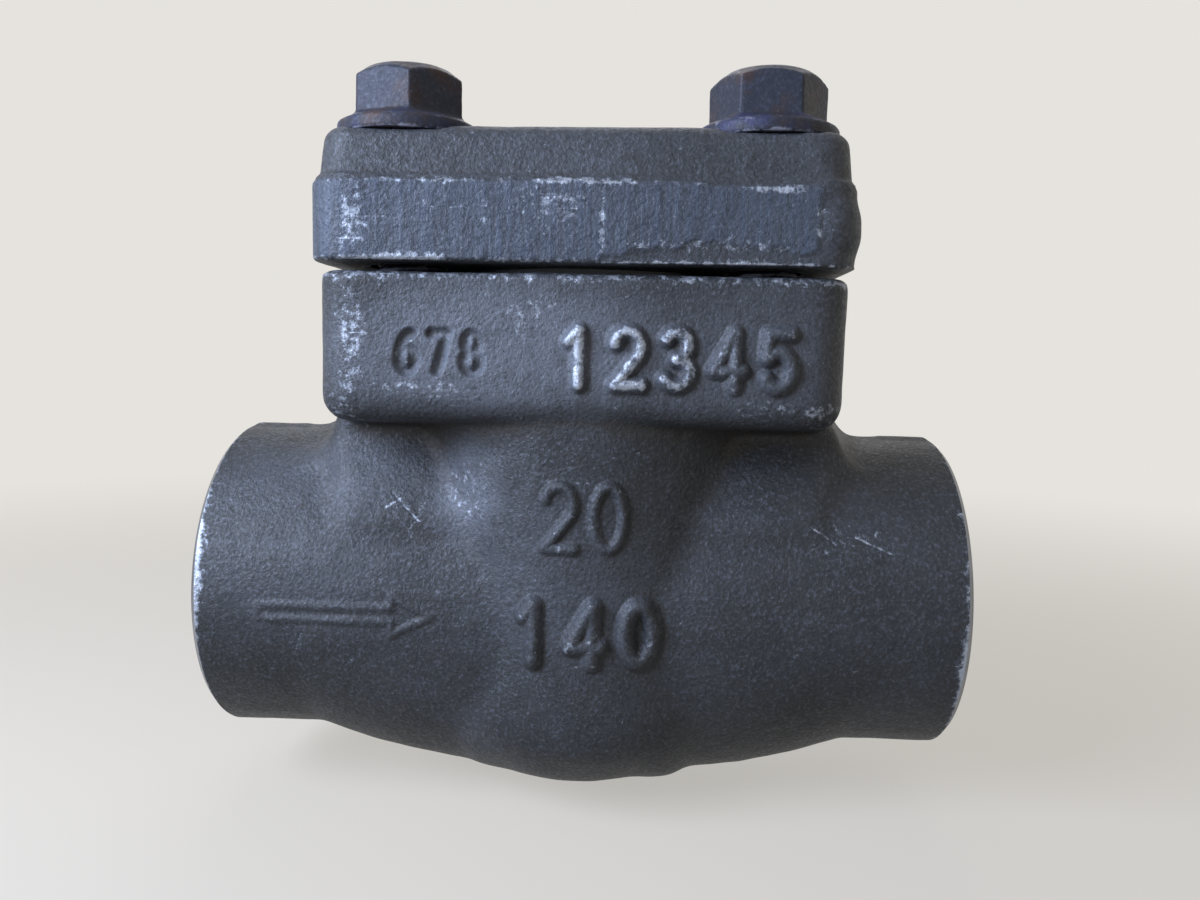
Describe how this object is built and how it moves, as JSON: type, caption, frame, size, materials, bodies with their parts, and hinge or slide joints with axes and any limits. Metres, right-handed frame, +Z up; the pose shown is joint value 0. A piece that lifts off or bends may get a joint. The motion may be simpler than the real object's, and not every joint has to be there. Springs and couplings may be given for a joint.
{
  "type": "swing check valve",
  "caption": "Forged steel swing check valve with socket weld ends, a rectangular bolted cover and a hinged disc inside.",
  "frame": {"origin": "centre of the inlet socket's mouth", "axes": "+X along the flow, from the inlet to the outlet; +Z up through the cover; -Y is the front with the flow arrow"},
  "size_m": [0.092, 0.049, 0.0897],
  "materials": {
    "forged_steel": "phosphated forging, dark grey, matte",
    "bolt_steel": "black oxide with a little rust, oily",
    "hard_trim": "lapped",
    "stainless_trim": "machined",
    "gasket_filler": "graphite, dull"
  },
  "bodies": {
    "valve": {"body": "forged_steel", "seat_ring": "hard_trim", "hinge_bracket": "stainless_trim", "bracket_screw_1": "stainless_trim", "bracket_screw_2": "stainless_trim", "hinge_pin": "stainless_trim", "hinge_pin_clip": "stainless_trim", "cover_gasket": "gasket_filler", "cover": "forged_steel", "cover_bolt_1": "bolt_steel", "cover_bolt_2": "bolt_steel", "cover_bolt_3": "bolt_steel", "cover_bolt_4": "bolt_steel"},
    "arm": {"swing_arm": "stainless_trim"},
    "disc": {"valve_disc": "hard_trim", "disc_washer": "stainless_trim", "disc_nut": "stainless_trim", "split_pin": "stainless_trim"}
  },
  "joints": [
    {"name": "arm_swing", "type": "hinge", "parent": "valve", "child": "arm", "pos_m": [0.042, 0, 0.0195], "axis": [0, -1, 0], "range_deg": [0, 46]},
    {"name": "disc_spin", "type": "hinge", "parent": "arm", "child": "disc", "pos_m": [0.0358, 0, 0], "axis": [1, 0, 0], "continuous": true}
  ]
}
